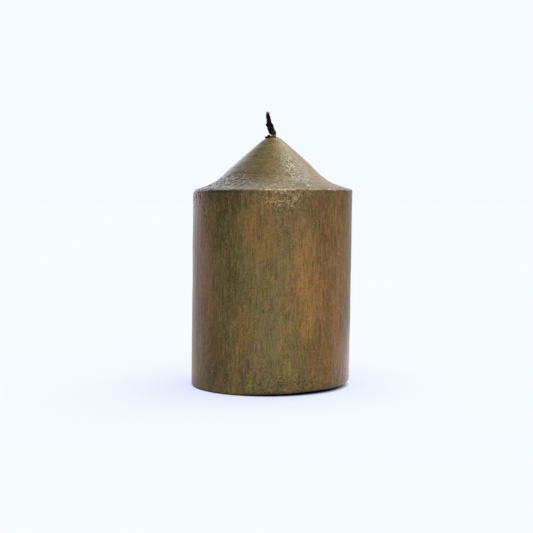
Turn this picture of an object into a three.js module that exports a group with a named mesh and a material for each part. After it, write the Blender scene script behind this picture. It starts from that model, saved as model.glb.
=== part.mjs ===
// A pillar candle with a conical top: a cast beeswax body under a brushed-on bronze coat, with a
// plaited cotton wick that runs from a tinplate sustainer in the base to a charred stub at the tip.
// Units are millimetres, +Z is up, and the origin is the centre of the base.
import * as THREE from "three";

// ---- Driving dimensions ----
const bodyRadius = 30; // over the coat
const rimHeight = 74.2; // where the wall turns into the cone
const apexHeight = 93.7; // the blunt tip of the cone
const coatThickness = 0.45;
const bondGap = 0.05; // between the wax and the coat
const roundSegments = 48; // facets round every turned piece
const curveDivisions = 3;

// The wall's two edges
const footEdgeRadius = 2.5;
const rimEdgeRadius = 0.8;
const rimSlope = THREE.MathUtils.degToRad(16); // the cone's slope where it meets the rim

// The cone: a blunt tip, a straight flank and a hollow flare out to the rim
const tipRadius = 5.2;
const flankSlope = THREE.MathUtils.degToRad(41);
const flareRadius = 0.62 * bodyRadius; // where the flank ends and the flare begins

// The wick's channel and the recess for its sustainer
const channelRadius = 1.55;
const neckBoreRadius = 2;
const neckBoreDepth = 5.4;
const recessRadius = 8.6;
const recessDepth = 0.9;

// The sustainer: a stamped disc with a crimped neck
const sustainerRadius = 8;
const sustainerThickness = 0.3;
const sustainerLift = 0.3; // the disc stays clear of the table
const neckOuterRadius = 1.65;
const neckInnerRadius = 1.3;
const neckHeight = 4.4;
const neckFillet = 0.7;

// The plait: three strands, thin from left to right and wide from front to back
const strandCount = 3;
const strandRadius = 0.33;
const strandSides = 6;
const plaitHalfWidth = 0.8;
const plaitHalfThickness = 0.5;
const plaitPitch = 7; // height in which a strand crosses over and comes back
const stepsPerPitch = 8;

// The wick's run: upright in the wax, then a bend, then the stub
const plaitStart = 0.8;
const bendPoint = new THREE.Vector3(0.3, 0, 95.1);
const bendClearance = 0.7; // below the bend, so that the stub can lean
const stubStart = 0.45; // above the bend
const stubLength = 8.4; // from the bend to the tip
const stubLean = THREE.MathUtils.degToRad(-14.5); // about Y, so the tip lies to the left
const stubBow = 0.5; // how far the middle of the stub bows to the left

// Yarn that has frayed out of the plait and stuck to the coat beside the wick
const yarnRadius = 0.28;
const yarnGap = 0.06; // between the yarn and the coat
const flatYarn = { side: -0.75, reach: [-1.7, -2.2, -2.7, -3.2], rise: [0, 0, 0, 0] };
const uprightYarn = { side: 0.15, reach: [-2, -2.15, -2.15, -2], rise: [0, 0.35, 0.7, 1.05] };

// ---- Materials ----
const material = (color, roughness, metalness) =>
  new THREE.MeshStandardMaterial({ color, roughness, metalness });
const beeswax = material(0xc9a13c, 0.55, 0);
const bronzeCoat = material(0x73603d, 0.45, 0.5);
const tinplate = material(0xb8babd, 0.35, 1);
const primedCotton = material(0xd8cda8, 0.8, 0);
const charredCotton = material(0x17141a, 0.95, 0);

// ---- Helpers ----
const candle = new THREE.Group();

function addPiece(name, geometry, look, parent = candle) {
  const piece = new THREE.Mesh(geometry, look);
  piece.name = name;
  parent.add(piece);
  return piece;
}

// Turns a closed outline of (radius, height) points about the Z axis.
function turned(outline) {
  const closed = [...outline, outline[0].clone()];
  return new THREE.LatheGeometry(closed, roundSegments).rotateX(Math.PI / 2);
}

// A round tube with closed ends along a curve.
function tube(curve, radius, sides, steps) {
  const section = new THREE.Shape();
  section.absarc(0, 0, radius, 0, 2 * Math.PI);
  return new THREE.ExtrudeGeometry(section, {
    extrudePath: curve,
    steps,
    curveSegments: sides / 2,
    bevelEnabled: false,
  });
}

// ---- The candle's outline ----
// Where the line that falls outwards from the upper point meets the one that falls to the lower point.
function crossingOf(upper, upperSlope, lower, lowerSlope) {
  const fall = upper.y - lower.y - (lower.x - upper.x) * Math.tan(lowerSlope);
  const reach = fall / (Math.tan(upperSlope) - Math.tan(lowerSlope));
  return new THREE.Vector2(upper.x + reach, upper.y - reach * Math.tan(upperSlope));
}

// The outer surface moved inwards by inset, from the angle on the foot's rounded edge up to the tip,
// where it stops at the wick's channel. All of it is (radius, height) in one plane.
function pillarOutline(inset, footAngle) {
  const side = bodyRadius - inset;
  const rim = rimHeight - inset;
  const apex = apexHeight - inset;
  const tip = tipRadius - inset;
  const tipCentre = apex - tip;
  const flankTop = new THREE.Vector2(tip * Math.sin(flankSlope), tipCentre + tip * Math.cos(flankSlope));
  const flare = flareRadius - inset * Math.sin(flankSlope);
  const flareTop = new THREE.Vector2(flare, flankTop.y - (flare - flankTop.x) * Math.tan(flankSlope));
  const rimCentre = new THREE.Vector2(side - rimEdgeRadius, rim - rimEdgeRadius);
  const rimEnd = new THREE.Vector2(
    rimCentre.x + rimEdgeRadius * Math.sin(rimSlope),
    rimCentre.y + rimEdgeRadius * Math.cos(rimSlope),
  );
  const crossing = crossingOf(flareTop, flankSlope, rimEnd, rimSlope);
  const holeAngle = Math.acos(channelRadius / tip);

  const path = new THREE.Path();
  path.absarc(side - footEdgeRadius, footEdgeRadius, footEdgeRadius, footAngle, 0, false);
  path.lineTo(side, rimCentre.y);
  path.absarc(rimCentre.x, rimCentre.y, rimEdgeRadius, 0, Math.PI / 2 - rimSlope, false);
  path.quadraticCurveTo(crossing.x, crossing.y, flareTop.x, flareTop.y);
  path.lineTo(flankTop.x, flankTop.y);
  path.absarc(0, tipCentre, tip, Math.PI / 2 - flankSlope, holeAngle, false);
  return path.getPoints(curveDivisions);
}

// ---- The wax body, with the wick's channel and the sustainer's recess ----
function waxBody() {
  const outside = pillarOutline(coatThickness + bondGap, -Math.PI / 2);
  const inside = [
    [channelRadius, neckBoreDepth],
    [neckBoreRadius, neckBoreDepth],
    [neckBoreRadius, recessDepth],
    [recessRadius, recessDepth],
    [recessRadius, 0],
  ].map(([radius, height]) => new THREE.Vector2(radius, height));
  return turned([...outside, ...inside]);
}

// ---- The brushed coat, from the foot's rounded edge to the wick's channel ----
function coat() {
  const lowerEdge = -Math.PI / 4;
  const outside = pillarOutline(0, lowerEdge);
  const inside = pillarOutline(coatThickness, lowerEdge).reverse();
  return turned([...outside, ...inside]);
}

// ---- The sustainer ----
function sustainer() {
  const path = new THREE.Path();
  path.moveTo(neckInnerRadius, 0);
  path.lineTo(sustainerRadius, 0);
  path.lineTo(sustainerRadius, sustainerThickness);
  path.lineTo(neckOuterRadius + neckFillet, sustainerThickness);
  path.quadraticCurveTo(
    neckOuterRadius,
    sustainerThickness,
    neckOuterRadius,
    sustainerThickness + neckFillet,
  );
  path.lineTo(neckOuterRadius, neckHeight);
  path.lineTo(neckInnerRadius, neckHeight);
  return turned(path.getPoints(curveDivisions));
}

// ---- The plait ----
// One strand of a three-strand plait laid round a centreline that runs mostly upwards.
class StrandCurve extends THREE.Curve {
  constructor(centreline, length, strand, phaseHeight) {
    super();
    this.centreline = centreline;
    this.length = length;
    this.strand = strand;
    this.phaseHeight = phaseHeight;
  }

  getPoint(t, target = new THREE.Vector3()) {
    const angle =
      2 * Math.PI * ((this.phaseHeight + t * this.length) / plaitPitch + this.strand / strandCount);
    target.copy(this.centreline(t));
    target.x += plaitHalfThickness * Math.sin(2 * angle);
    target.y += plaitHalfWidth * Math.sin(angle);
    return target;
  }
}

// The lower plait stands in the middle of the channel and leans over to the bend once it is out.
function lowerCentreline(t) {
  const top = bendPoint.z - bendClearance;
  const height = THREE.MathUtils.lerp(plaitStart, top, t);
  const lean = THREE.MathUtils.smoothstep(height, apexHeight - tipRadius, top);
  return new THREE.Vector3(bendPoint.x * lean, 0, height);
}

// The stub's centreline, in its own frame with the bend at the origin.
function stubCentreline(t) {
  const height = THREE.MathUtils.lerp(stubStart, stubLength, t);
  return new THREE.Vector3(-stubBow * Math.sin((Math.PI * height) / stubLength), 0, height);
}

function plait(name, centreline, length, phaseHeight, look, parent) {
  const steps = Math.round((length / plaitPitch) * stepsPerPitch);
  for (let strand = 0; strand < strandCount; strand++) {
    const curve = new StrandCurve(centreline, length, strand, phaseHeight);
    addPiece(`${name}_${strand + 1}`, tube(curve, strandRadius, strandSides, steps), look, parent);
  }
}

// ---- Frayed yarn on the cone's tip ----
// The coat's height at a radius on the blunt tip or on the flank below it.
function heightOnCone(radius) {
  const tipCentre = apexHeight - tipRadius;
  const flankTopRadius = tipRadius * Math.sin(flankSlope);
  if (radius < flankTopRadius) {
    return tipCentre + Math.sqrt(tipRadius ** 2 - radius ** 2);
  }
  const flankTopHeight = tipCentre + tipRadius * Math.cos(flankSlope);
  return flankTopHeight - (radius - flankTopRadius) * Math.tan(flankSlope);
}

// A yarn whose points lie at a reach from the axis along X, a side along Y and a rise off the coat.
function frayedYarn({ side, reach, rise }) {
  const lift = (yarnRadius + yarnGap) / Math.cos(flankSlope);
  const points = reach.map(
    (x, i) => new THREE.Vector3(x, side, heightOnCone(Math.hypot(x, side)) + lift + rise[i]),
  );
  return tube(new THREE.CatmullRomCurve3(points), yarnRadius, strandSides, 2 * points.length);
}

// ---- Assembly ----
addPiece("wax_body", waxBody(), beeswax);
addPiece("bronze_coat", coat(), bronzeCoat);
addPiece("wick_sustainer", sustainer(), tinplate).position.z = sustainerLift;

const lowerLength = bendPoint.z - bendClearance - plaitStart;
plait("wick_strand", lowerCentreline, lowerLength, plaitStart, primedCotton, candle);

const stub = new THREE.Group();
stub.position.copy(bendPoint);
stub.rotation.y = stubLean;
candle.add(stub);
plait("wick_tip_strand", stubCentreline, stubLength - stubStart, bendPoint.z, charredCotton, stub);

addPiece("frayed_yarn_flat", frayedYarn(flatYarn), charredCotton);
addPiece("frayed_yarn_upright", frayedYarn(uprightYarn), charredCotton);

export default candle;
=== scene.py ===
"""Looks for the pillar candle: a brushed bronze coat over beeswax, and a charred, plaited wick."""

import math

import bpy
import numpy as np
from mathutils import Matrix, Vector, noise


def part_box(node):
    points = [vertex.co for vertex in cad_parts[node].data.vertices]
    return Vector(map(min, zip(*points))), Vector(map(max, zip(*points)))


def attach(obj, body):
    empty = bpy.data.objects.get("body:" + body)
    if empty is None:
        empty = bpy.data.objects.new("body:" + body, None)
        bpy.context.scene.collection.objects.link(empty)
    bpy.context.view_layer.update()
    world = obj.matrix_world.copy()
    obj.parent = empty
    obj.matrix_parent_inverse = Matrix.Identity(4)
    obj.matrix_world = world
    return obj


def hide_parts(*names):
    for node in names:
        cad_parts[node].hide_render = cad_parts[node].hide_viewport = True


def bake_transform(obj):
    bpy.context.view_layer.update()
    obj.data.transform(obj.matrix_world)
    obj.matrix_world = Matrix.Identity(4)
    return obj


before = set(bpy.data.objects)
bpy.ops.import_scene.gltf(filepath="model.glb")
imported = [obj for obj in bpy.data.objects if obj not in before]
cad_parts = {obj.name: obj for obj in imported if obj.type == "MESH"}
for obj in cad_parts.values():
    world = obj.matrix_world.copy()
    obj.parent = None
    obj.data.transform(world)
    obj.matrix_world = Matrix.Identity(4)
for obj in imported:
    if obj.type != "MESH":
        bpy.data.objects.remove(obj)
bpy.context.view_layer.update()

MM = 0.001  # every length below is in millimetres, and every mesh is made in metres

# ---- The candle's outline. All but the apex is as in the CAD model ----
_, COAT_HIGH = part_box("bronze_coat")
BODY_RADIUS = COAT_HIGH.x / MM
RIM_HEIGHT = 74.2
APEX_HEIGHT = 93.8  # 0.1 above the CAD model's
TIP_RADIUS = 5.2
FLANK_SLOPE = math.radians(41)
RIM_SLOPE = math.radians(16)
FLARE_RADIUS = 0.62 * BODY_RADIUS
COAT_THICKNESS = 0.45
CORE_INSET = 0.5
CHANNEL_RADIUS = 1.55
HOLE_RADIUS = CHANNEL_RADIUS - 0.25  # the coat closes in on the wick
NECK_BORE_RADIUS = 2.0
NECK_BORE_TOP = 5.4
RECESS_RADIUS = 8.6
RECESS_TOP = 0.9

# ---- Where the candle strays from the ideal one. Pairs are for the left and the right ----
LEAN = 0.0127  # sideways shift per unit of height
LEAN_PIVOT = 45.0  # the height that doesn't shift
LEAN_MOST = 0.62  # the shift stops growing here
FOOT_RADII = (0.8, 2.0)  # the foot's rounding
FOOT_LIFTS = (0.02, 1.0)  # the coat's lower edge above the table
RIM_RADII = (2.0, 0.6)  # the rim's rounding
RIM_DROP = 0.35  # how much lower the rim is at the far right
WALL_SPLIT = 60.0  # rows lie closer together above this height

COLUMNS = 500  # points round every turned mesh


# ---- Small tools ----
def smooth(low, high, value):
    """0 below low, 1 above high, and a smooth step between."""
    t = np.clip((value - low) / (high - low), 0, 1)
    return t * t * (3 - 2 * t)


def bump_at(value, centre, half_width):
    """A soft bump of height 1."""
    return np.exp(-(((value - centre) / half_width) ** 2))


def field(points, scale, seed):
    """Noise from about -1 to 1 at each point. scale is (x, y, z) cycles per millimetre."""
    shift = np.array([seed * 17.3, seed * 5.1, seed * 9.7])
    scaled = points * np.array(scale) + shift
    return np.array([noise.noise(Vector(p)) for p in scaled])


def even(scale):
    """The same scale along each axis."""
    return (scale, scale, scale)


def lean(points):
    """Shifts millimetre points sideways as the candle leans."""
    shift = np.clip(LEAN * (points[:, 2] - LEAN_PIVOT), -LEAN_MOST, LEAN_MOST)
    leaned = points.copy()
    leaned[:, 0] += shift
    return leaned


def add_mesh(name, points, faces, attributes=None):
    """A smooth-shaded object from millimetre points, with float attributes on its vertices."""
    mesh = bpy.data.meshes.new(name)
    mesh.from_pydata((points * MM).tolist(), [], faces)
    mesh.validate()
    mesh.shade_smooth()
    for key, values in (attributes or {}).items():
        layer = mesh.attributes.new(key, "FLOAT", "POINT")
        layer.data.foreach_set("value", np.asarray(values, np.float32))
    piece = bpy.data.objects.new(name, mesh)
    bpy.context.scene.collection.objects.link(piece)
    return piece


def ring_faces(rows, columns):
    """Quads of a grid that closes on itself both ways. Its normals point out if the rows run
    up the outside and down the inside."""
    faces = []
    for i in range(rows):
        lower, upper = i * columns, ((i + 1) % rows) * columns
        for j in range(columns):
            k = (j + 1) % columns
            faces.append((lower + j, lower + k, upper + k, upper + j))
    return faces


# ---- Outlines ----
ANGLES = np.linspace(-math.pi, math.pi, COLUMNS, endpoint=False)  # 0 faces the viewer
RIGHTNESS = (1 + np.sin(ANGLES)) / 2  # 0 at the far left, 1 at the far right


def arc(centre_r, centre_z, radius, start, end, count):
    """Rows of (radius, height) along an arc, one value per column."""
    rows = []
    for angle in np.linspace(start, end, count):
        rows.append((centre_r + radius * math.cos(angle), centre_z + radius * math.sin(angle)))
    return rows


def cone_rows(inset, rim_r, rim_z, flare_count, flank_count, tip_count):
    """Rows from the end of the rim's rounding over the flare and the flank to the tip."""
    tip = TIP_RADIUS - inset
    tip_centre = APEX_HEIGHT - TIP_RADIUS
    flank_r = tip * math.sin(FLANK_SLOPE)
    flank_z = tip_centre + tip * math.cos(FLANK_SLOPE)
    flare_r = FLARE_RADIUS - inset * math.sin(FLANK_SLOPE)
    flare_z = flank_z - (flare_r - flank_r) * math.tan(FLANK_SLOPE)
    fall = flare_z - rim_z - (rim_r - flare_r) * math.tan(RIM_SLOPE)
    reach = fall / (math.tan(FLANK_SLOPE) - math.tan(RIM_SLOPE))
    corner_r = flare_r + reach
    corner_z = flare_z - reach * math.tan(FLANK_SLOPE)
    rows = []
    for t in np.linspace(0, 1, flare_count + 1)[1:]:
        a, b, c = (1 - t) ** 2, 2 * t * (1 - t), t**2
        radius = a * rim_r + b * corner_r + c * flare_r
        height = a * rim_z + b * corner_z + c * flare_z
        rows.append((radius, height))
    for t in np.linspace(0, 1, flank_count + 1)[1:]:
        rows.append((flare_r + t * (flank_r - flare_r), flare_z + t * (flank_z - flare_z)))
    hole = math.acos(HOLE_RADIUS / tip)
    for angle in np.linspace(math.pi / 2 - FLANK_SLOPE, hole, tip_count + 1)[1:]:
        rows.append((tip * math.cos(angle), tip_centre + tip * math.sin(angle)))
    return rows


def pillar_rows(inset, counts):
    """Rows of (radius, height) from the foot's lower edge to the wick's hole, moved in by inset.
    counts are the rows of the foot, wall (lower and upper), rim, flare, flank and tip."""
    foot, wall, rim, flare, flank, tip = counts
    foot_radius = FOOT_RADII[1] + (1 - smooth(0, 0.5, RIGHTNESS)) * (FOOT_RADII[0] - FOOT_RADII[1])
    foot_base = FOOT_LIFTS[0] + smooth(0.25, 0.8, RIGHTNESS) * (FOOT_LIFTS[1] - FOOT_LIFTS[0])
    rim_radius = RIM_RADII[1] + (1 - smooth(0.03, 0.4, RIGHTNESS)) * (RIM_RADII[0] - RIM_RADII[1])
    side = BODY_RADIUS - inset
    rim_top = RIM_HEIGHT - inset - RIM_DROP * smooth(0.8, 1, RIGHTNESS)
    rows = arc(side - foot_radius, foot_base + foot_radius, foot_radius, math.radians(-80), 0, foot)
    low, high = foot_base + foot_radius, rim_top - rim_radius
    for t in np.linspace(0, 1, wall[0] + 1)[1:]:
        rows.append((side, low + t * (WALL_SPLIT - low)))
    for t in np.linspace(0, 1, wall[1] + 1)[1:-1]:
        rows.append((side, WALL_SPLIT + t * (high - WALL_SPLIT)))
    rows += arc(side - rim_radius, high, rim_radius, 0, math.pi / 2 - RIM_SLOPE, rim)
    rim_r, rim_z = rows[-1]
    return rows + cone_rows(inset, rim_r, rim_z, flare, flank, tip)


def grid(rows):
    """Rows of (radius, height) as two arrays, a row by a column each."""
    blank = np.zeros(COLUMNS)
    radii = np.array([blank + r for r, _ in rows])
    heights = np.array([blank + z for _, z in rows])
    return radii, heights


def points_of(radii, heights):
    """Millimetre points of a grid of radii and heights."""
    x = radii * np.sin(ANGLES)
    y = -radii * np.cos(ANGLES)
    return np.stack([x, y, heights], axis=-1).reshape(-1, 3)


# ---- The brushed coat ----
def degrees_round(points):
    """Each point's angle about the axis, in degrees: 0 faces the viewer, 90 is at the right."""
    return np.degrees(np.arctan2(points[:, 0], -points[:, 1]))


def ridged(points, scale, seed, sharpness):
    """Thin, winding ridges of height 1 where a noise field crosses zero."""
    return 1 - np.minimum(1, np.abs(field(points, scale, seed)) / sharpness)


def crinkle_mask(points):
    """Where the thick paint has wrinkled: mostly on the cone's right front and below the rim."""
    angle = degrees_round(points)
    height = points[:, 2]
    on_cone = smooth(RIM_HEIGHT + 0.5, RIM_HEIGHT + 4, height)
    patchy = smooth(-0.25, 0.35, field(points, even(1 / 6), 21))
    behind = smooth(70, 110, np.abs(angle)) * patchy
    flank = 0.2 + 0.8 * bump_at(angle, 26, 18) * (0.75 + 0.25 * patchy) + 0.5 * behind
    flank *= 1 - 0.75 * smooth(85.5, 90, height)
    collar = 0.85 * bump_at(angle, 6, 27) * smooth(62, 73, height)
    collar += 0.6 * bump_at(angle, 4, 12) * smooth(44, 62, height)
    collar += 0.40 * bump_at(angle, 44, 18) * smooth(65, 72, height)
    collar = np.clip(collar, 0, 1) * (0.75 + 0.25 * patchy) + 0.6 * behind * smooth(62, 73, height)
    foot = 0.4 * (1 - smooth(4, 14, height)) * bump_at(angle, 12, 34)
    return np.clip(on_cone * flank + (1 - on_cone) * (collar + foot), 0, 1)


def pitted_mask(points):
    """Where the coat has gaps: near the foot, on the rim's left corner and on the left shoulder. The
    gaps are dented, their colour carries painted shade, and on the cone painted highlights too.
    """
    angle = degrees_round(points)
    height = points[:, 2]
    foot = 0.62 * (1 - smooth(4, 14, height)) * bump_at(angle, 14, 44)
    corner = bump_at(angle, -69, 24) * bump_at(height, RIM_HEIGHT - 2.0, 4.0)
    chips = 0.8 * bump_at(angle, 50, 24) * bump_at(height, RIM_HEIGHT - 0.5, 1.0)
    shoulder = 0.9 * bump_at(angle, -48, 36) * bump_at(height, 76.8, 3.0)
    return np.clip(foot + corner + chips + shoulder, 0, 1)


def coat_relief(points):
    """How far the brushed surface stands off its smooth outline, in millimetres."""
    height = points[:, 2]
    angle = degrees_round(points)
    on_wall = 1 - smooth(RIM_HEIGHT - 1, RIM_HEIGHT + 0.5, height)
    lumps = 0.12 * field(points, even(1 / 14), 1)
    ridges = 0.045 * field(points, (1 / 0.9, 1 / 0.9, 1 / 7), 2)
    ridges += 0.045 * field(points, (1 / 2.4, 1 / 2.4, 1 / 26), 3)
    hoops = 0.07 * field(points, (1 / 6, 1 / 6, 1 / 1.1), 14) * (0.5 + bump_at(angle, -55, 50))
    warp = np.stack([field(points, even(1 / 2.2), seed) for seed in (4, 5, 6)], axis=-1)
    worms = ridged(points + 1.2 * warp, even(1 / 2.4), 7, 0.3)
    grain = 0.02 * field(points, even(1 / 0.8), 9)
    notch = 0.22 * field(points, even(1 / 1.5), 10) * bump_at(height, RIM_HEIGHT - 0.4, 1.2)
    notched = smooth(15, 35, angle) * (1 - smooth(80, 110, angle)) + bump_at(angle, -62, 22)
    pits = np.clip(3 * field(points, even(1 / 1.1), 13) - 0.25, 0, 1) * pitted_mask(points)
    relief = lumps + grain + notch * (0.15 + notched) - 0.30 * pits
    # The left flank is a little fuller than the outline, and the right shoulder a little hollower.
    relief += 0.40 * bump_at(angle, -85, 45) * smooth(77, 81, height) * (1 - smooth(91, 94, height))
    relief -= 0.40 * bump_at(angle, 85, 35) * smooth(75, 77, height) * (1 - smooth(80, 84, height))
    wrinkles = 0.10 * crinkle_mask(points) * (worms - 0.4)
    return relief + ridges * on_wall + hoops * (1 - on_wall) + wrinkles


# Brushed patches of each tint: (angle, half width, height, half height, strength)
PATCHES = {
    "khaki": [
        (4, 9, 36, 22, 0.8),
        (-4, 10, 16, 14, 0.7),
        (14, 6, 16, 12, 0.6),
        (-12, 5, 42, 12, 0.4),
        (10, 5, 52, 6, 0.5),
        (14, 34, 4, 8, 0.6),
        (130, 12, 40, 20, 0.6),
        (-160, 14, 34, 22, 0.7),
        (-95, 8, 20, 16, 0.5),
    ],
    "olive": [
        (-20, 8, 46, 18, 0.8),
        (8, 4, 44, 18, 0.5),
        (-32, 6, 60, 12, 0.5),
        (4, 5, 68, 6, 0.5),
        (22, 5, 60, 10, 0.5),
        (-28, 6, 14, 12, 0.5),
        (102, 9, 50, 20, 0.6),
        (145, 10, 30, 26, 0.8),
        (-98, 8, 52, 24, 0.5),
        (-130, 10, 52, 22, 0.7),
    ],
    "umber": [
        (-38, 14, 64, 22, 1.0),
        (-24, 8, 72, 6, 0.7),
        (-38, 8, 14, 12, 0.5),
        (-45, 10, 30, 20, 0.4),
        (41, 4, 44, 22, 0.6),
        (45, 18, 68, 9, 0.7),
        (12, 6, 62, 9, 0.3),
        (70, 10, 60, 24, 0.5),
        (75, 8, 60, 20, 0.5),
        (-170, 10, 60, 20, 0.6),
    ],
    "sienna": [
        (36, 12, 48, 28, 0.6),
        (50, 14, 48, 36, 0.9),
        (-38, 10, 84, 3, 0.4),
        (-28, 6, 79, 2, 0.5),
        (68, 9, 56, 26, 0.5),
        (44, 12, 26, 24, 0.7),
        (-50, 6, 42, 26, 0.5),
        (32, 8, 10, 8, 0.5),
        (-46, 8, 16, 12, 0.4),
        (-72, 9, 40, 34, 0.5),
        (70, 8, 50, 34, 0.5),
        (110, 10, 50, 26, 0.6),
        (-140, 10, 40, 24, 0.5),
    ],
    "copper": [
        (23, 7, 40, 16, 1.0),
        (27, 5, 26, 8, 0.6),
        (35, 6, 38, 12, 0.6),
        (38, 5, 5, 4, 0.5),
        (28, 3, 8, 3, 0.5),
        (54, 6, 42, 20, 0.8),
        (40, 6, 30, 16, 0.35),
        (52, 8, 85, 3, 0.5),
        (62, 8, 80, 2, 0.4),
        (52, 6, 14, 10, 0.4),
        (-53, 5, 42, 18, 0.5),
        (-4, 8, 56, 12, 0.4),
        (-14, 8, 62, 9, 0.4),
        (2, 16, 71, 4, 0.45),
        (11, 6, 36, 24, 0.4),
        (22, 6, 54, 10, 0.5),
        (14, 10, 5, 6, 0.3),
        (120, 14, 40, 26, 0.8),
        (170, 12, 50, 24, 0.6),
        (-110, 12, 44, 28, 0.7),
        (-150, 9, 28, 18, 0.6),
    ],
    "ochre": [
        (-19, 5, 25, 5, 0.8),
        (-24, 4, 14, 6, 0.4),
        (1, 2, 42, 1.2, 0.9),
        (25, 5, 42, 10, 0.4),
        (155, 4, 12, 6, 0.7),
    ],
    "lime": [
        (-15, 2.4, 3.5, 2.5, 0.9),
        (-27, 4, 1.5, 1.5, 0.7),
        (3, 9, 86, 4, 0.25),
        (28, 7, 86, 3, 0.35),
        (10, 3, 9, 3, 0.3),
        (160, 4, 6, 3, 0.7),
    ],
    "rust": [
        (-25, 1.6, 29, 1.5, 1.0),
        (-55, 3, 44, 18, 0.5),
        (-54, 4, 30, 5, 0.6),
        (36, 3, 56, 7, 0.5),
        (56, 5, 34, 20, 0.5),
        (44, 3, 30, 14, 0.4),
        (-120, 5, 20, 10, 0.6),
    ],
}


SHARP_TINTS = ("ochre", "lime", "rust")  # whose patches also keep their own clear outline


def patch_mask(patches, angle, height):
    """Soft patches added up, from 0 to 1."""
    total = np.zeros(len(angle))
    for centre, half_width, middle, half_height, strength in patches:
        turned = (angle - centre + 180) % 360 - 180
        across = strength * bump_at(turned, 0, half_width)
        total += across * bump_at(height, middle, half_height)
    return np.clip(total, 0, 1)


def coat_masks(points):
    """How much of each tint and flaw the coat has at each point, from 0 to 1, and where it carries
    painted highlights and painted shade.
    """
    angle = degrees_round(points)
    height = points[:, 2]
    wander = 6 * field(points, (1 / 9, 1 / 9, 1 / 15), 11)
    wander += 4 * field(points, (1 / 3, 1 / 3, 1 / 7), 15)
    climb = 9 * field(points, (1 / 3, 1 / 3, 1 / 12), 16)
    masks = {}
    for name, patches in PATCHES.items():
        masks[name] = patch_mask(patches, angle + wander, height + climb)
    for name in SHARP_TINTS:
        masks[name] = np.maximum(patch_mask(PATCHES[name], angle, height), 0.6 * masks[name])
    radius = np.hypot(points[:, 0], points[:, 1])
    edge = radius + 0.4 * field(points, even(1 / 0.7), 12)
    masks["soot"] = (1 - smooth(1.5, 2.3, edge)) * smooth(80, 88, height)
    line = bump_at(height, RIM_HEIGHT - 0.3, 0.3)
    broken = smooth(-0.05, 0.25, field(points, even(1 / 1.3), 17))
    # A pale line along the rim's front edge: paint wear, and a painted highlight on the edge.
    masks["worn_and_highlit"] = line * bump_at(angle, 2, 14) * (0.4 + 0.6 * broken)
    masks["chipped"] = line * broken * (bump_at(angle, 46, 26) + 0.4 * bump_at(angle, -20, 14))
    # A painted highlight: a small white glint on the flare just above the rim, right of the front.
    glint = bump_at(angle, 30, 2.0) * bump_at(height, RIM_HEIGHT + 1.2, 0.22)
    masks["glint"] = glint * (0.3 + 0.6 * broken)
    # Painted shade: a dark band just under the rim at the left.
    masks["shade"] = bump_at(height, RIM_HEIGHT - 1.0, 0.45) * bump_at(angle, -44, 30)
    masks["pitted"] = pitted_mask(points)
    masks["crinkle"] = crinkle_mask(points)
    masks["cone"] = smooth(RIM_HEIGHT - 0.6, RIM_HEIGHT + 0.6, height)
    return masks


def bronze_coat():
    """The coat's skin, closed, with its relief on the outside only."""
    outside = grid(pillar_rows(0, (8, (50, 40), 10, 22, 38, 7)))
    inside = grid(pillar_rows(COAT_THICKNESS, (2, (2, 2), 2, 2, 3, 2))[::-1])
    outer = points_of(*outside)
    slope_r = np.gradient(outside[0], axis=0)
    slope_z = np.gradient(outside[1], axis=0)
    length = np.hypot(slope_r, slope_z)
    normals = points_of(slope_z / length, -slope_r / length)
    relief = coat_relief(outer)
    inner = points_of(*inside)
    points = np.concatenate([outer + normals * relief[:, None], inner])
    points[:, 2] = np.maximum(points[:, 2], 0)
    masks = coat_masks(np.concatenate([outer, inner]))
    rows = len(points) // COLUMNS
    return add_mesh("bronze_coat_brushed", lean(points), ring_faces(rows, COLUMNS), masks)


# ---- The wax core ----
def wax_core():
    """The cast body under the coat. Its sole dishes up towards the right, where it has settled."""
    outside = pillar_rows(CORE_INSET, (5, (20, 12), 4, 6, 8, 3))
    sole_edge = 0.2 + smooth(0.25, 0.8, RIGHTNESS) * 1.0
    inside = [
        (CHANNEL_RADIUS, 88),
        (CHANNEL_RADIUS, NECK_BORE_TOP),
        (NECK_BORE_RADIUS, NECK_BORE_TOP),
        (NECK_BORE_RADIUS, RECESS_TOP),
        (RECESS_RADIUS, RECESS_TOP),
        (RECESS_RADIUS, 0),
        (14, 0),
        (20, 0),
        (24, 0.6 * sole_edge),
        (26, sole_edge),
    ]
    radii, heights = grid(outside + inside)
    points = points_of(radii, heights)
    near_sole = (points[:, 2] > 0.1) * (points[:, 2] < 1.5)
    points[:, 2] += 0.08 * field(points, even(1 / 6), 20) * near_sole
    rows = len(points) // COLUMNS
    return add_mesh("wax_core", lean(points), ring_faces(rows, COLUMNS))


# ---- Yarn ----
def swept(path, radii, sides, seed, roughness):
    """Points and faces of a closed, uneven tube along a path of millimetre points."""
    path = np.asarray(path, float)
    tangents = np.gradient(path, axis=0)
    tangents /= np.linalg.norm(tangents, axis=1)[:, None]
    reference = np.array([0.0, 1.0, 0.0])
    points = []
    for here, tangent, radius in zip(path, tangents, radii):
        across = np.cross(reference, tangent)
        across /= np.linalg.norm(across)
        other = np.cross(tangent, across)
        for k in range(sides):
            angle = 2 * math.pi * k / sides
            points.append(here + radius * (math.cos(angle) * across + math.sin(angle) * other))
    points = np.array(points)
    centres = np.repeat(path, sides, axis=0)
    wobble = roughness * field(points, even(2.2), seed)
    wobble += 0.6 * roughness * field(points, even(5), seed + 1)
    points += (points - centres) * wobble[:, None]
    faces = []
    for i in range(len(path) - 1):
        for k in range(sides):
            n = (k + 1) % sides
            faces.append((i * sides + k, i * sides + n, (i + 1) * sides + n, (i + 1) * sides + k))
    faces.append(tuple(range(sides))[::-1])
    faces.append(tuple((len(path) - 1) * sides + k for k in range(sides)))
    return points, faces


def joined(parts):
    """One list of points and faces from several."""
    points, faces, offset = [], [], 0
    for part_points, part_faces in parts:
        points.append(part_points)
        faces += [tuple(i + offset for i in face) for face in part_faces]
        offset += len(part_points)
    return np.concatenate(points), faces


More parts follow.
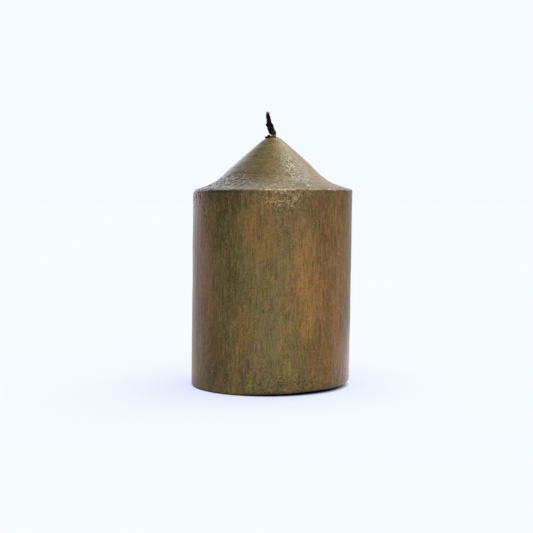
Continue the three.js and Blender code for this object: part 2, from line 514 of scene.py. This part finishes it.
def fused(piece, voxel):
    """Merges a piece's overlapping tubes into one closed skin. Gives its millimetre points."""
    remesh = piece.modifiers.new("skin", "REMESH")
    remesh.mode = "VOXEL"
    remesh.voxel_size = voxel * MM
    graph = bpy.context.evaluated_depsgraph_get()
    mesh = bpy.data.meshes.new_from_object(piece.evaluated_get(graph))
    piece.modifiers.clear()
    piece.data = mesh
    mesh.shade_smooth()
    points = np.zeros(len(mesh.vertices) * 3)
    mesh.vertices.foreach_get("co", points)
    return points.reshape(-1, 3) / MM


def char_surface(piece, points, amount, seed):
    """Roughens a fused piece of charred yarn, and stores where its points were."""
    mesh = piece.data
    normals = np.zeros(len(mesh.vertices) * 3)
    mesh.vertices.foreach_get("normal", normals)
    normals = normals.reshape(-1, 3)
    crust = field(points, even(2.6), seed) + 0.6 * field(points, even(6.5), seed + 1)
    moved = points + normals * (amount * crust)[:, None]
    mesh.vertices.foreach_set("co", (moved * MM).ravel())
    store(mesh, "rest_place", points)
    return crust


def store(mesh, name, values):
    """Keeps a vector or a number for each vertex."""
    values = np.asarray(values, np.float32)
    if values.ndim == 2:
        layer = mesh.attributes.new(name, "FLOAT_VECTOR", "POINT")
        layer.data.foreach_set("vector", values.ravel())
    else:
        layer = mesh.attributes.new(name, "FLOAT", "POINT")
        layer.data.foreach_set("value", values)


# The wick's line: (height, sideways offset from the candle's axis, width)
WICK_LINE = [
    (92.8, 0.15, 1.9),
    (94.2, 0.10, 2.0),
    (94.7, 0.00, 2.25),
    (95.3, -0.30, 2.9),
    (96.0, -0.75, 2.8),
    (96.8, -1.05, 2.65),
    (97.6, -1.20, 2.75),
    (98.4, -1.45, 2.6),
    (99.0, -1.66, 2.05),
    (99.8, -1.72, 1.85),
    (100.8, -1.88, 1.8),
    (101.6, -2.12, 1.65),
    (103.0, -2.10, 1.4),
]
WICK_TIP = 103.2
STRAND_DROPS = (0, 0.25, 0.4)  # how far below the tip each strand has burnt
HEART_TOP = WICK_TIP - 0.15
PLAIT_PITCH = 4.6  # height in which a strand crosses over and comes back
YARN_ROWS = 90
YARN_SIDES = 14
YARN_ROUGHNESS = 0.22
# Stiff burnt fibres: (height, side, reach, rise, thickness, seed), where side is -1 for the left
BARBS = [
    (97.75, -1, 0.85, 0.80, 0.62, 36),
    (97.4, -1, 0.42, 0.30, 0.36, 37),
    (96.3, -1, 0.35, 0.40, 0.36, 38),
    (95.2, 1, 0.45, 0.35, 0.45, 39),
]


def wick_at(height):
    """The centre and the width of the wick at a height."""
    heights, offsets, widths = zip(*WICK_LINE)
    near = height + np.linspace(-0.35, 0.35, 5)
    x = float(np.mean(np.interp(near, heights, offsets)))
    return np.array([x, 0, height]), float(np.interp(height, heights, widths))


def rounded_end(height, top, reach=0.4):
    """1 along the wick, falling to a small radius at its top."""
    return 0.25 + 0.75 * math.sqrt(min(1, max(0, (top - height) / reach)))


def wick_strand(index, top):
    """One strand of the plait, from the channel up to its own burnt end."""
    path, radii = [], []
    for height in np.linspace(WICK_LINE[0][0], top, YARN_ROWS):
        centre, width = wick_at(height)
        angle = 2 * math.pi * (height / PLAIT_PITCH + index / len(STRAND_DROPS))
        sway = np.array([0.17 * math.sin(2 * angle), 0.26 * math.sin(angle), 0]) * width
        path.append(centre + sway)
        radii.append(0.30 * width * rounded_end(height, top))
    return swept(path, radii, YARN_SIDES, 30 + index, YARN_ROUGHNESS)


def wick_heart():
    """The middle of the plait, which the three strands wrap."""
    path, radii = [], []
    for height in np.linspace(WICK_LINE[0][0], HEART_TOP, YARN_ROWS):
        centre, width = wick_at(height)
        path.append(centre)
        radii.append(0.33 * width * rounded_end(height, HEART_TOP))
    return swept(path, radii, YARN_SIDES, 33, YARN_ROUGHNESS)


def barb(height, side, reach, rise, thickness, seed):
    """A stiff burnt fibre that stands out of the wick."""
    centre, width = wick_at(height)
    root = centre + np.array([side * 0.3 * width, -0.2, 0])
    steps = np.linspace(0, 1, 8)
    path = [root + np.array([side * reach * t, -0.1 * t, rise * t]) for t in steps]
    return swept(path, thickness * (1 - 0.75 * steps), sides=8, seed=seed, roughness=0.3)


def wick():
    """The charred stub and its root, one plait; the real wick bends at its hinge."""
    parts = [wick_strand(index, WICK_TIP - drop) for index, drop in enumerate(STRAND_DROPS)]
    parts.append(wick_heart())
    parts += [barb(*shape) for shape in BARBS]
    points, faces = joined(parts)
    piece = add_mesh("wick_charred", lean(points), faces)
    skin = fused(piece, voxel=0.055)
    crust = char_surface(piece, skin, amount=0.045, seed=40)
    height = skin[:, 2]
    store(piece.data, "painted", 1 - smooth(94.1, 94.6, height + 0.3 * crust))
    singed = bump_at(height + 0.4 * crust, 95.2, 0.7)
    store(piece.data, "singed", singed * smooth(-0.4, 0.8, skin[:, 0]))
    store(piece.data, "ash", smooth(102.1, 102.8, height + 0.2 * crust))
    return piece


def frayed(name, path, radii, seed):
    """A bit of charred yarn that has come out of the plait."""
    points, faces = swept(path, radii, sides=10, seed=seed, roughness=0.35)
    piece = add_mesh(name, lean(points), faces)
    skin = fused(piece, voxel=0.05)
    char_surface(piece, skin, amount=0.05, seed=seed + 2)
    return piece


# ---- Materials ----
class Nodes:
    """A short way to write a node material. Links and settings go by socket name."""

    def __init__(self, name):
        self.material = bpy.data.materials.new(name)
        self.material.use_nodes = True
        self.tree = self.material.node_tree
        self.tree.nodes.clear()
        self.output = self.add("ShaderNodeOutputMaterial")

    def add(self, kind, links=None, **settings):
        node = self.tree.nodes.new(kind)
        for key, value in settings.items():
            if hasattr(node, key):
                setattr(node, key, value)
            else:
                node.inputs[key.replace("_", " ")].default_value = value
        for key, source in (links or {}).items():
            self.tree.links.new(source, node.inputs[key])
        return node

    def attribute(self, name):
        return self.add("ShaderNodeAttribute", attribute_name=name)

    def place(self, scale):
        """Object coordinates in millimetres, scaled along each axis."""
        where = self.add("ShaderNodeTexCoord").outputs["Object"]
        mapping = self.add("ShaderNodeMapping", {"Vector": where})
        mapping.inputs["Scale"].default_value = tuple(s / MM for s in scale)
        return mapping.outputs["Vector"]

    def noise(self, vector, detail=3.0, roughness=0.5, distortion=0.0):
        node = self.add("ShaderNodeTexNoise", {"Vector": vector})
        node.inputs["Scale"].default_value = 1.0
        node.inputs["Detail"].default_value = detail
        node.inputs["Roughness"].default_value = roughness
        node.inputs["Distortion"].default_value = distortion
        return node.outputs["Fac"]

    def ramp(self, fac, stops):
        """A colour for each number, even between the stops of (number, colour)."""
        node = self.add("ShaderNodeValToRGB", {"Fac": fac})
        ramp = node.color_ramp
        while len(ramp.elements) < len(stops):
            ramp.elements.new(0.5)
        for element, (position, colour) in zip(ramp.elements, stops):
            element.position = position
            element.color = (*colour, 1)
        return node.outputs["Color"]

    def spread(self, value, low, high, to_low=0.0, to_high=1.0):
        node = self.add("ShaderNodeMapRange", {"Value": value})
        node.inputs["From Min"].default_value = low
        node.inputs["From Max"].default_value = high
        node.inputs["To Min"].default_value = to_low
        node.inputs["To Max"].default_value = to_high
        return node.outputs["Result"]

    def maths(self, operation, a, b):
        node = self.add("ShaderNodeMath", operation=operation)
        for socket, value in zip(node.inputs, (a, b)):
            if isinstance(value, (int, float)):
                socket.default_value = value
            else:
                self.tree.links.new(value, socket)
        return node.outputs["Value"]

    def blend(self, fac, a, b):
        """Between two numbers."""
        node = self.add("ShaderNodeMix", data_type="FLOAT")
        for socket, source in zip(node.inputs, (fac, None, a, b)):
            if source is not None:
                self.tree.links.new(source, socket)
        return node.outputs[0]

    def lines(self, vector, width, distortion):
        """Thin, curling lines of height 1 along a noise's middle contour."""
        middle = self.maths("SUBTRACT", self.noise(vector, 2, 0.5, distortion), 0.5)
        return self.spread(self.maths("ABSOLUTE", middle, 0), 0, width, 1, 0)

    def mix(self, fac, a, b):
        """Between two colours."""
        node = self.add("ShaderNodeMix", data_type="RGBA")
        for key, value in ((0, fac), (6, a), (7, b)):
            if isinstance(value, (int, float)):
                node.inputs[key].default_value = value
            elif isinstance(value, tuple):
                node.inputs[key].default_value = (*value, 1)
            else:
                self.tree.links.new(value, node.inputs[key])
        return node.outputs[2]

    def bump(self, height, strength, distance, normal=None):
        node = self.add("ShaderNodeBump", {"Height": height})
        node.inputs["Strength"].default_value = strength
        node.inputs["Distance"].default_value = distance * MM
        if normal is not None:
            self.tree.links.new(normal, node.inputs["Normal"])
        return node.outputs["Normal"]

    def principled(self, links, **values):
        node = self.add("ShaderNodeBsdfPrincipled", links)
        for key, value in values.items():
            node.inputs[key.replace("_", " ")].default_value = value
        self.tree.links.new(node.outputs["BSDF"], self.output.inputs["Surface"])
        return self.material


def coat_tints(n, colour, mottle, streaks, cone):
    """The brushed patches: a tint each, broken up by one of the two textures."""
    uneven = n.spread(mottle, 0.35, 0.62, 0.45, 1.05)
    brushed_on = n.spread(streaks, 0.36, 0.60, 0.5, 1.05)
    tints = [
        ("khaki", uneven, (0.235, 0.188, 0.073)),
        ("olive", uneven, (0.160, 0.136, 0.045)),
        ("umber", uneven, (0.070, 0.046, 0.010)),
        ("sienna", brushed_on, (0.185, 0.082, 0.017)),
        ("copper", brushed_on, (0.420, 0.200, 0.058)),
        ("rust", brushed_on, (0.200, 0.062, 0.018)),
        ("ochre", uneven, (0.350, 0.190, 0.025)),
        ("lime", uneven, (0.330, 0.295, 0.018)),
    ]
    for name, breakup, tint in tints:
        mask = n.maths("MULTIPLY", n.attribute(name).outputs["Fac"], breakup)
        colour = n.mix(mask, colour, tint)
    blotches = n.noise(n.place((0.30, 0.30, 0.14)), 3, 0.55)
    on_wall = n.spread(cone, 0, 1, 1, 0.55)
    reddish = n.maths("MULTIPLY", n.spread(blotches, 0.53, 0.66, 0, 0.55), on_wall)
    colour = n.mix(reddish, colour, (0.290, 0.150, 0.068))
    colour = n.mix(n.spread(blotches, 0.46, 0.35, 0, 0.45), colour, (0.158, 0.148, 0.050))
    return n.mix(n.spread(cone, 0, 1, 0, 0.3), colour, (0.190, 0.155, 0.050))


def strokes(n, cone, wall_scale, cone_scale, detail, roughness):
    """Noise drawn out along the brush strokes: upright on the wall, and level on the cone."""
    upright = n.noise(n.place(wall_scale), detail, roughness)
    level = n.noise(n.place(cone_scale), detail, roughness)
    return n.blend(cone, upright, level)


def coat_material():
    """Brushed bronze and olive paint, with wrinkled, pitted, rubbed and sooty places, painted
    highlights on the wrinkles' crests, the rim's front edge, the shoulder and a glint above the rim,
    and painted shade in the creases, the pits and under the rim at the left.
    """
    n = Nodes("bronze_coat_look")
    cone = n.attribute("cone").outputs["Fac"]
    streaks = strokes(n, cone, (1.0, 1.0, 0.09), (0.25, 0.25, 1.2), 4, 0.6)
    fine = strokes(n, cone, (2.1, 2.1, 0.20), (0.4, 0.4, 2.2), 3, 0.7)
    broad = n.noise(n.place((0.15, 0.15, 0.035)), 3, 0.5, 0.4)
    grain = n.noise(n.place((1.5, 1.5, 1.3)), 3, 0.75)
    mottle = n.noise(n.place((0.5, 0.5, 0.3)), 4, 0.6, 0.4)
    tone = n.maths("ADD", n.maths("MULTIPLY", streaks, 0.45), n.maths("MULTIPLY", broad, 0.55))
    colour = n.ramp(
        tone,
        [
            (0.36, (0.090, 0.060, 0.013)),
            (0.47, (0.140, 0.095, 0.024)),
            (0.54, (0.185, 0.128, 0.036)),
            (0.66, (0.245, 0.170, 0.054)),
        ],
    )
    colour = coat_tints(n, colour, mottle, streaks, cone)
    colour = n.mix(n.spread(fine, 0.54, 0.70, 0, 0.46), colour, (0.44, 0.29, 0.09))
    colour = n.mix(n.spread(fine, 0.46, 0.30, 0, 0.75), colour, (0.035, 0.021, 0.004))
    colour = n.mix(n.spread(grain, 0.46, 0.32, 0, 0.62), colour, (0.040, 0.027, 0.007))
    colour = n.mix(n.spread(grain, 0.56, 0.70, 0, 0.48), colour, (0.48, 0.34, 0.12))
    large = n.lines(n.place((0.50, 0.50, 0.50)), 0.13, 1.6)
    small = n.lines(n.place((0.85, 0.85, 0.85)), 0.13, 1.2)
    crinkle = n.attribute("crinkle").outputs["Fac"]
    folds = n.maths("ADD", n.maths("MULTIPLY", large, 0.60), n.maths("MULTIPLY", small, 0.40))
    wrinkles = n.maths("MULTIPLY", folds, crinkle)
    # Painted highlights: the crests of the wrinkles are tinted pale cream and gold, as where they
    # catch the light.
    sharp_crests = n.spread(wrinkles, 0.40, 0.80, 0, 0.75)
    soft_crests = n.spread(wrinkles, 0.20, 0.90, 0, 0.25)
    crests = n.maths("ADD", sharp_crests, soft_crests)
    crest_highlight_tint = n.mix(cone, (0.66, 0.47, 0.25), (0.68, 0.61, 0.37))
    colour = n.mix(n.spread(crests, 0, 1, 0, 0.82), colour, crest_highlight_tint)
    # Painted shade: the creases between the wrinkles are darkened.
    creases = n.maths("MULTIPLY", n.spread(folds, 0.34, 0.10), crinkle)
    crease_shade = n.maths("MULTIPLY", n.spread(creases, 0, 1), n.spread(cone, 0, 1, 0.5, 0.8))
    colour = n.mix(crease_shade, colour, (0.045, 0.034, 0.010))
    # The rim's front edge: paint wear and a painted highlight.
    colour = n.mix(n.attribute("worn_and_highlit").outputs["Fac"], colour, (0.85, 0.66, 0.46))
    colour = n.mix(n.attribute("chipped").outputs["Fac"], colour, (0.72, 0.46, 0.18))
    # Painted highlight: the glint above the rim.
    colour = n.mix(n.attribute("glint").outputs["Fac"], colour, (0.70, 0.73, 0.74))
    # Painted highlights: pale grey flecks on the pitted shoulder, as sparkles of light.
    painted_sparkles = n.spread(n.noise(n.place((0.6, 0.6, 2.4)), 2, 0.6, 0.6), 0.55, 0.63, 0, 0.9)
    shoulder = n.maths("MULTIPLY", n.attribute("pitted").outputs["Fac"], cone)
    colour = n.mix(n.maths("MULTIPLY", painted_sparkles, shoulder), colour, (0.62, 0.62, 0.57))
    # Painted shade: the pits are darkened nearly to black.
    hollow = n.spread(n.noise(n.place((1.0, 1.0, 1.4)), 2, 0.6, 0.6), 0.49, 0.38)
    pits = n.maths("MULTIPLY", hollow, n.attribute("pitted").outputs["Fac"])
    colour = n.mix(n.spread(pits, 0, 1, 0, 0.92), colour, (0.014, 0.016, 0.014))
    # Painted shade under the rim at the left.
    shade = n.spread(n.attribute("shade").outputs["Fac"], 0, 1, 0, 0.85)
    colour = n.mix(shade, colour, (0.035, 0.026, 0.010))
    soot = n.attribute("soot").outputs["Fac"]
    colour = n.mix(soot, colour, (0.012, 0.01, 0.009))
    rough = n.spread(n.maths("ADD", streaks, n.maths("MULTIPLY", soot, 0.5)), 0.3, 0.9, 0.38, 0.62)
    rough = n.maths("SUBTRACT", rough, n.maths("MULTIPLY", crests, 0.18))
    metal = n.spread(crests, 0, 1, 0.25, 0.62)
    brushed = n.bump(fine, 0.6, 0.07)
    grained = n.bump(grain, 0.6, 0.08, brushed)
    wrinkled = n.bump(wrinkles, 1.0, 0.32, grained)
    pocked = n.bump(pits, 0.9, -0.25, wrinkled)
    return n.principled(
        {"Base Color": colour, "Roughness": rough, "Metallic": metal, "Normal": pocked},
        Specular_IOR_Level=0.1,
        Coat_Weight=0.7,
        Coat_IOR=1.4,
        Coat_Roughness=0.2,
    )


def wax_material():
    """Cast beeswax, faintly cloudy."""
    n = Nodes("beeswax_look")
    cloud = n.noise(n.place((0.12, 0.12, 0.12)), 4, 0.55)
    grain = n.noise(n.place((1.6, 1.6, 1.6)), 3, 0.6)
    colour = n.ramp(cloud, [(0.3, (0.50, 0.30, 0.07)), (0.7, (0.72, 0.49, 0.15))])
    rough = n.spread(grain, 0.3, 0.7, 0.42, 0.62)
    return n.principled(
        {"Base Color": colour, "Roughness": rough, "Normal": n.bump(grain, 0.4, 0.08)},
        Subsurface_Weight=0.2,
        Subsurface_Scale=2 * MM,
    )


def tin_material():
    """Rolled tinplate with a few stains."""
    n = Nodes("tinplate_look")
    brushed = n.noise(n.place((4, 0.3, 2)), 3, 0.6)
    stain = n.noise(n.place((0.3, 0.3, 0.3)), 4, 0.6)
    colour = n.mix(n.spread(stain, 0.5, 0.72, 0, 0.6), (0.60, 0.60, 0.61), (0.34, 0.27, 0.19))
    rough = n.spread(brushed, 0.3, 0.7, 0.25, 0.5)
    return n.principled(
        {"Base Color": colour, "Roughness": rough, "Normal": n.bump(brushed, 0.3, 0.03)},
        Metallic=1.0,
    )


def cotton_material():
    """Cotton primed with wax."""
    n = Nodes("primed_cotton_look")
    fibres = n.noise(n.place((6, 6, 1.2)), 3, 0.6, 0.6)
    colour = n.ramp(fibres, [(0.3, (0.45, 0.36, 0.20)), (0.7, (0.78, 0.70, 0.50))])
    return n.principled(
        {"Base Color": colour, "Normal": n.bump(fibres, 0.6, 0.08)},
        Roughness=0.75,
    )


def rest_place(n, scale):
    """Coordinates that stay with the yarn as it bends."""
    mapping = n.add("ShaderNodeMapping", {"Vector": n.attribute("rest_place").outputs["Vector"]})
    mapping.inputs["Scale"].default_value = scale
    return mapping.outputs["Vector"]


def char_material():
    """Charred cotton, with ash at its tip and some of the coat's paint at its root."""
    n = Nodes("charred_cotton_look")
    fibres = n.noise(rest_place(n, (7, 7, 1.6)), 4, 0.65, 0.5)
    crust = n.noise(rest_place(n, (2.2, 2.2, 2.2)), 4, 0.6)
    colour = n.ramp(crust, [(0.35, (0.002, 0.002, 0.004)), (0.7, (0.014, 0.010, 0.016))])
    ash = n.maths("MULTIPLY", n.attribute("ash").outputs["Fac"], n.spread(fibres, 0.3, 0.6, 0.5, 1))
    colour = n.mix(ash, colour, (0.25, 0.25, 0.26))
    colour = n.mix(n.attribute("singed").outputs["Fac"], colour, (0.060, 0.024, 0.016))
    bronze = n.ramp(
        crust,
        [
            (0.35, (0.09, 0.060, 0.025)),
            (0.55, (0.32, 0.27, 0.14)),
            (0.7, (0.50, 0.46, 0.32)),
        ],
    )
    painted = n.attribute("painted").outputs["Fac"]
    colour = n.mix(painted, colour, bronze)
    rough = n.spread(painted, 0, 1, 0.85, 0.5)
    return n.principled(
        {"Base Color": colour, "Roughness": rough, "Normal": n.bump(fibres, 0.8, 0.1)},
        Specular_IOR_Level=0.12,
    )


# ---- Studio ----
BACKDROP = (0.913, 0.956, 0.991)
FLOOR_SIZE = 12.0  # metres
# What the camera sees of the floor
FLOOR_COLOUR = (0.17, 0.167, 0.03)
FLOOR_GLOW = (0.735, 0.780, 0.962)
SHELTERED_GLOW = (0.550, 0.590, 0.920)  # where the candle shelters it from the light
# What the candle gets from the floor, by where on the floor it comes from: the floor's colour, and
# painted light that the floor glows onto it
BOUNCED_COLOUR = (0.27, 0.27, 0.20)
BOUNCED_GLOW = (0.25, 0.27, 0.36)
BOUNCED_GLOW_LEFT = (0.46, 0.40, 0.54)
BOUNCED_GLOW_RIGHT = (1.30, 1.12, 1.50)
CONTACT_SHADE_BLACK = (0.0, 0.0, 0.0)


def floor_material():
    """A light table that glows. Its glow and colour carry a painted shadow, a little darker where the
    candle shelters it, and painted black shade where they touch; the light it glows onto the candle
    is stronger behind the candle at the left and near it at the right.
    """
    n = Nodes("floor_look")
    contact = n.add("ShaderNodeAmbientOcclusion", samples=16)
    contact.inputs["Distance"].default_value = 3 * MM
    shelter = n.add("ShaderNodeAmbientOcclusion", samples=16)
    shelter.inputs["Distance"].default_value = 40 * MM
    # Painted contact shadow: the floor's glow and colour go to black where the candle is close.
    openness = n.spread(contact.outputs["AO"], 0.15, 0.60)
    where = n.add("ShaderNodeTexCoord").outputs["Object"]
    place = n.add("ShaderNodeSeparateXYZ", {"Vector": where})
    reach = n.add("ShaderNodeVectorMath", {"Vector": where}, operation="LENGTH")
    behind = n.spread(place.outputs["Y"], -0.02, 0.02)
    left = n.maths("MULTIPLY", behind, n.spread(place.outputs["X"], 0.0, -0.03))
    right = n.maths("MULTIPLY", behind, n.spread(place.outputs["X"], 0.0, 0.03))
    near_right = n.maths("MULTIPLY", n.spread(reach.outputs["Value"], 0.22, 0.02), right)
    bounced_glow = n.mix(left, BOUNCED_GLOW, BOUNCED_GLOW_LEFT)
    bounced_glow = n.mix(near_right, bounced_glow, BOUNCED_GLOW_RIGHT)
    # Painted shadow: the floor the camera sees glows less where the candle shelters it.
    seen_glow = n.mix(shelter.outputs["AO"], SHELTERED_GLOW, FLOOR_GLOW)
    seen = n.add("ShaderNodeLightPath").outputs["Is Camera Ray"]
    glow = n.mix(openness, CONTACT_SHADE_BLACK, n.mix(seen, bounced_glow, seen_glow))
    colour = n.mix(openness, CONTACT_SHADE_BLACK, n.mix(seen, BOUNCED_COLOUR, FLOOR_COLOUR))
    return n.principled(
        {"Emission Color": glow, "Base Color": colour},
        Emission_Strength=1.0,
        Roughness=1.0,
        Specular_IOR_Level=0.0,
    )


def floor():
    half = FLOOR_SIZE / 2
    corners = [(-half, -half, 0), (half, -half, 0), (half, half, 0), (-half, half, 0)]
    mesh = bpy.data.meshes.new("floor")
    mesh.from_pydata(corners, [], [(0, 1, 2, 3)])
    plane = bpy.data.objects.new("floor", mesh)
    bpy.context.scene.collection.objects.link(plane)
    mesh.materials.append(floor_material())


# Soft patches of light from far off: (direction, start, full, strength, colour). start and full are
# the cosines of the angles from the direction where a patch begins and where it is at full strength.
GLOWS = [
    ((-0.50, 0.86, 0.00), 0.83, 1.0, 1.20, (1.00, 0.84, 1.10)),  # behind, low at the left
    ((-0.33, 0.82, 0.47), 0.87, 1.0, 1.00, (0.72, 0.86, 1.00)),  # behind, higher up at the left
    ((0.15, 0.98, 0.00), 0.88, 1.0, 0.60, (0.96, 0.88, 1.00)),  # behind, low at the right
    ((0.45, 0.75, 0.48), 0.87, 1.0, 0.80, (1.00, 0.92, 0.92)),  # behind, higher up at the right
    ((0.30, -0.05, 0.95), 0.20, 1.0, 0.45, (0.95, 0.97, 1.00)),  # overhead
    ((0.38, -0.86, 0.33), 0.00, 1.0, 0.85, (1.00, 0.98, 0.95)),  # in front, to the right
    ((0.45, 0.36, 0.81), 0.86, 1.0, 2.90, (1.00, 0.99, 0.96)),  # the main light, high up at the right
]
DIM = (0.16, 0.16, 0.165)  # the rest of the room


def background(tree, colour, strength):
    """Light from the world, as strong as a number or another node's output says."""
    node = tree.nodes.new("ShaderNodeBackground")
    node.inputs["Color"].default_value = (*colour, 1)
    if isinstance(strength, (int, float)):
        node.inputs["Strength"].default_value = strength
    else:
        tree.links.new(strength, node.inputs["Strength"])
    return node.outputs["Background"]


def glow_strength(tree, towards, start, full, strength):
    """How strong a soft patch of light is in each direction."""
    place = tree.nodes.new("ShaderNodeTexCoord")
    nearness = tree.nodes.new("ShaderNodeVectorMath")
    nearness.operation = "DOT_PRODUCT"
    nearness.inputs[1].default_value = Vector(towards).normalized()
    tree.links.new(place.outputs["Generated"], nearness.inputs[0])
    fade = tree.nodes.new("ShaderNodeMapRange")
    fade.interpolation_type = "SMOOTHSTEP"
    fade.inputs["From Min"].default_value = start
    fade.inputs["From Max"].default_value = full
    fade.inputs["To Max"].default_value = strength
    tree.links.new(nearness.outputs["Value"], fade.inputs["Value"])
    return fade.outputs["Result"]


def studio_world():
    """What lights the candle and shows in its gloss. The camera sees one even backdrop."""
    world = bpy.data.worlds.new("studio")
    bpy.context.scene.world = world
    world.use_nodes = True
    tree = world.node_tree
    tree.nodes.clear()
    lit = background(tree, DIM, 1.0)
    for towards, start, full, strength, colour in GLOWS:
        glow = background(tree, colour, glow_strength(tree, towards, start, full, strength))
        both = tree.nodes.new("ShaderNodeAddShader")
        tree.links.new(lit, both.inputs[0])
        tree.links.new(glow, both.inputs[1])
        lit = both.outputs["Shader"]
    path = tree.nodes.new("ShaderNodeLightPath")
    choose = tree.nodes.new("ShaderNodeMixShader")
    tree.links.new(path.outputs["Is Camera Ray"], choose.inputs["Fac"])
    tree.links.new(lit, choose.inputs[1])
    tree.links.new(background(tree, BACKDROP, 1.0), choose.inputs[2])
    output = tree.nodes.new("ShaderNodeOutputWorld")
    tree.links.new(choose.outputs["Shader"], output.inputs["Surface"])


CAMERA_PLACE = (-0.0020, -0.452, 0.0745)  # metres
CAMERA_TILT = 3.768  # degrees down from level
CAMERA_LENS = 80.6


def camera():
    """A long lens level with the rim, looking slightly down."""
    data = bpy.data.cameras.new("camera")
    data.lens = CAMERA_LENS
    data.clip_start = 0.01
    data.clip_end = 50
    view = bpy.data.objects.new("camera", data)
    view.location = CAMERA_PLACE
    view.rotation_euler = (math.radians(90 - CAMERA_TILT), 0, 0)
    bpy.context.scene.collection.objects.link(view)
    bpy.context.scene.camera = view


def dress(piece, material):
    piece.data.materials.clear()
    piece.data.materials.append(material)


# ---- Assembly ----
bpy.context.scene.view_settings.view_transform = "Standard"
camera()
studio_world()
floor()

coat = bronze_coat()
dress(coat, coat_material())
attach(coat, "candle")
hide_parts("bronze_coat")

core = wax_core()
dress(core, wax_material())
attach(core, "candle")
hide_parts("wax_body")

charred = char_material()
stub = wick()
dress(stub, charred)
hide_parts("wick_tip_strand_1", "wick_tip_strand_2", "wick_tip_strand_3")
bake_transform(stub)

# Node: the yarn's path, its radius at each point of the path, and its seed
YARNS = {
    "frayed_yarn_flat": (
        [
            (1.0, -1.5, 93.65),
            (-0.6, -1.5, 93.65),
            (-1.7, -1.2, 93.65),
            (-2.5, -0.85, 93.5),
            (-3.2, -0.7, 93.45),
        ],
        [0.14, 0.20, 0.40, 0.44, 0.36],
        50,
    ),
    "frayed_yarn_upright": (
        [(-1.6, -0.8, 93.65), (-1.8, -0.75, 94.0), (-2.0, -0.7, 94.25), (-2.25, -0.7, 94.45)],
        [0.60, 0.55, 0.36, 0.12],
        55,
    ),
}
for node, (path, radii, seed) in YARNS.items():
    steps = np.linspace(0, len(path) - 1, 24)
    corners = range(len(path))
    fine_path = np.array([np.interp(steps, corners, axis) for axis in zip(*path)]).T
    fine_radii = np.interp(steps, corners, radii)
    yarn = frayed(node + "_charred", fine_path, fine_radii, seed)
    dress(yarn, charred)
    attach(yarn, "candle")
    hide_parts(node)

dress(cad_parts["wick_sustainer"], tin_material())
cotton = cotton_material()
for number in (1, 2, 3):
    dress(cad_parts[f"wick_strand_{number}"], cotton)
